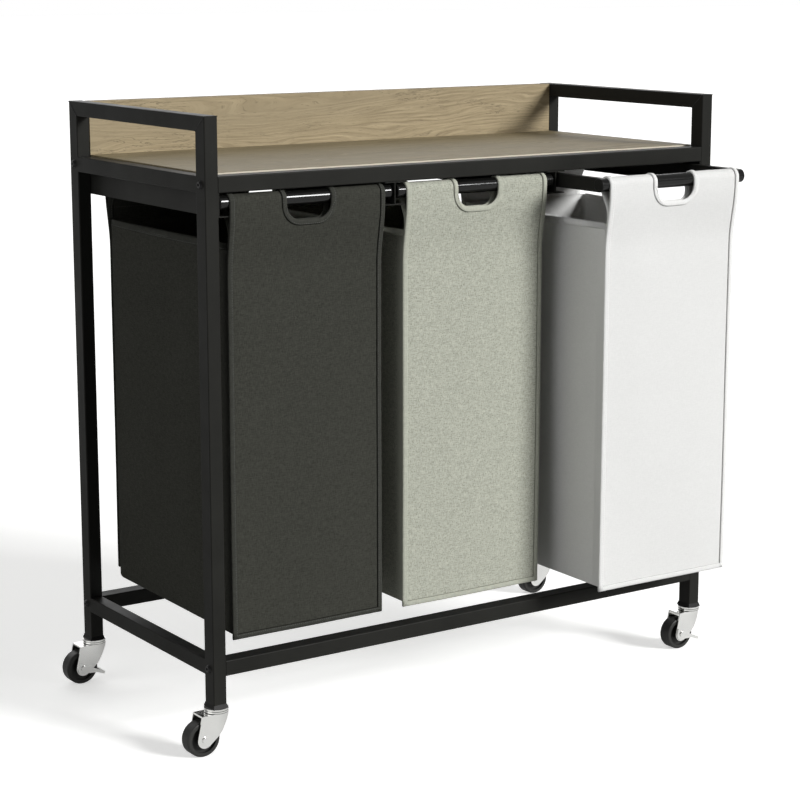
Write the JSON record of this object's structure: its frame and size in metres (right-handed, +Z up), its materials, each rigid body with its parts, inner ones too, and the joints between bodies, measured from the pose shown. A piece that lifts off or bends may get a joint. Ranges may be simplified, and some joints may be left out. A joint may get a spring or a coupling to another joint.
{
  "type": "laundry sorter on wheels",
  "caption": "Rolling laundry sorter: tube frame with a raised shelf and backboard, over fabric bags hung on slide-out frames, on swivel casters.",
  "frame": {"origin": "on the floor, under the middle of the object's box as it stands with the right-hand bag pulled out", "axes": "+X to the sorter's right as seen from the front, +Y to its back, +Z up"},
  "size_m": [0.9284, 0.5065, 0.872],
  "materials": {
    "black_tube": "satin powder coat",
    "grey_wood": "satin grey-brown wood grain",
    "black_plastic": "matte",
    "black_screw": "black oxide",
    "zinc": "bright zinc plate",
    "black_wheel": "satin",
    "charcoal_cloth": "woven polyester",
    "heather_cloth": "woven polyester, heathered",
    "white_cloth": "woven polyester"
  },
  "bodies": {
    "frame": {"left_side_frame": "black_tube", "right_side_frame": "black_tube", "front_shelf_rail": "black_tube", "back_shelf_rail": "black_tube", "front_bottom_rail": "black_tube", "back_bottom_rail": "black_tube", "rail_end_inserts": "black_plastic", "frame_bolts": "black_screw", "shelf_board": "grey_wood", "shelf_tabs": "black_tube", "shelf_screws": "zinc", "back_board": "grey_wood", "left_end_guide": "black_tube", "right_end_guide": "black_tube", "left_middle_guide": "black_tube", "right_middle_guide": "black_tube", "guide_screws": "black_screw", "front_glides": "black_plastic", "post_plugs": "black_plastic", "front_left_caster_mount": "zinc", "front_right_caster_mount": "zinc", "back_left_caster_mount": "zinc", "back_right_caster_mount": "zinc"},
    "left_drawer": {"left_slide_front_bar": "black_tube", "left_slide_rear_bar": "black_tube", "left_slide_left_bar": "black_tube", "left_slide_right_bar": "black_tube", "left_slide_bar_caps": "black_plastic", "left_slide_rear_glides": "black_plastic", "left_bag": "charcoal_cloth"},
    "middle_drawer": {"middle_slide_front_bar": "black_tube", "middle_slide_rear_bar": "black_tube", "middle_slide_left_bar": "black_tube", "middle_slide_right_bar": "black_tube", "middle_slide_bar_caps": "black_plastic", "middle_slide_rear_glides": "black_plastic", "middle_bag": "heather_cloth"},
    "right_drawer": {"right_slide_front_bar": "black_tube", "right_slide_rear_bar": "black_tube", "right_slide_left_bar": "black_tube", "right_slide_right_bar": "black_tube", "right_slide_bar_caps": "black_plastic", "right_slide_rear_glides": "black_plastic", "right_bag": "white_cloth"},
    "front_left_caster": {"front_left_caster_fork": "zinc", "front_left_caster_axle": "zinc"},
    "front_left_caster_wheel": {"front_left_caster_wheel": "black_wheel"},
    "front_right_caster": {"front_right_caster_fork": "zinc", "front_right_caster_axle": "zinc"},
    "front_right_caster_wheel": {"front_right_caster_wheel": "black_wheel"},
    "front_right_caster_brake": {"front_right_caster_brake_lever": "zinc"},
    "back_left_caster": {"back_left_caster_fork": "zinc", "back_left_caster_axle": "zinc"},
    "back_left_caster_wheel": {"back_left_caster_wheel": "black_wheel"},
    "back_left_caster_brake": {"back_left_caster_brake_lever": "zinc"},
    "back_right_caster": {"back_right_caster_fork": "zinc", "back_right_caster_axle": "zinc"},
    "back_right_caster_wheel": {"back_right_caster_wheel": "black_wheel"}
  },
  "joints": [
    {"name": "left_slide", "type": "slide", "parent": "frame", "child": "left_drawer", "axis": [0, -1, 0], "range_m": [0, 0.26]},
    {"name": "middle_slide", "type": "slide", "parent": "frame", "child": "middle_drawer", "axis": [0, -1, 0], "range_m": [0, 0.26]},
    {"name": "right_slide", "type": "slide", "parent": "frame", "child": "right_drawer", "axis": [0, -1, 0], "range_m": [-0.1, 0.16]},
    {"name": "front_left_swivel", "type": "hinge", "parent": "frame", "child": "front_left_caster", "pos_m": [-0.41425, -0.13875, 0.059], "axis": [0, 0, 1], "continuous": true},
    {"name": "front_left_roll", "type": "hinge", "parent": "front_left_caster", "child": "front_left_caster_wheel", "pos_m": [-0.43925, -0.13875, 0.025], "axis": [0, 1, 0], "continuous": true},
    {"name": "front_right_swivel", "type": "hinge", "parent": "frame", "child": "front_right_caster", "pos_m": [0.44575, -0.13875, 0.059], "axis": [0, 0, 1], "continuous": true},
    {"name": "front_right_roll", "type": "hinge", "parent": "front_right_caster", "child": "front_right_caster_wheel", "pos_m": [0.42075, -0.13875, 0.025], "axis": [0, 1, 0], "continuous": true},
    {"name": "front_right_brake", "type": "hinge", "parent": "front_right_caster", "child": "front_right_caster_brake", "pos_m": [0.42075, -0.13875, 0.025], "axis": [0, 1, 0], "range_deg": [0, 15]},
    {"name": "back_left_swivel", "type": "hinge", "parent": "frame", "child": "back_left_caster", "pos_m": [-0.41425, 0.23625, 0.059], "axis": [0, 0, 1], "continuous": true},
    {"name": "back_left_roll", "type": "hinge", "parent": "back_left_caster", "child": "back_left_caster_wheel", "pos_m": [-0.43925, 0.23625, 0.025], "axis": [0, 1, 0], "continuous": true},
    {"name": "back_left_brake", "type": "hinge", "parent": "back_left_caster", "child": "back_left_caster_brake", "pos_m": [-0.43925, 0.23625, 0.025], "axis": [0, 1, 0], "range_deg": [0, 15]},
    {"name": "back_right_swivel", "type": "hinge", "parent": "frame", "child": "back_right_caster", "pos_m": [0.44575, 0.23625, 0.059], "axis": [0, 0, 1], "continuous": true},
    {"name": "back_right_roll", "type": "hinge", "parent": "back_right_caster", "child": "back_right_caster_wheel", "pos_m": [0.42075, 0.23625, 0.025], "axis": [0, 1, 0], "continuous": true}
  ]
}
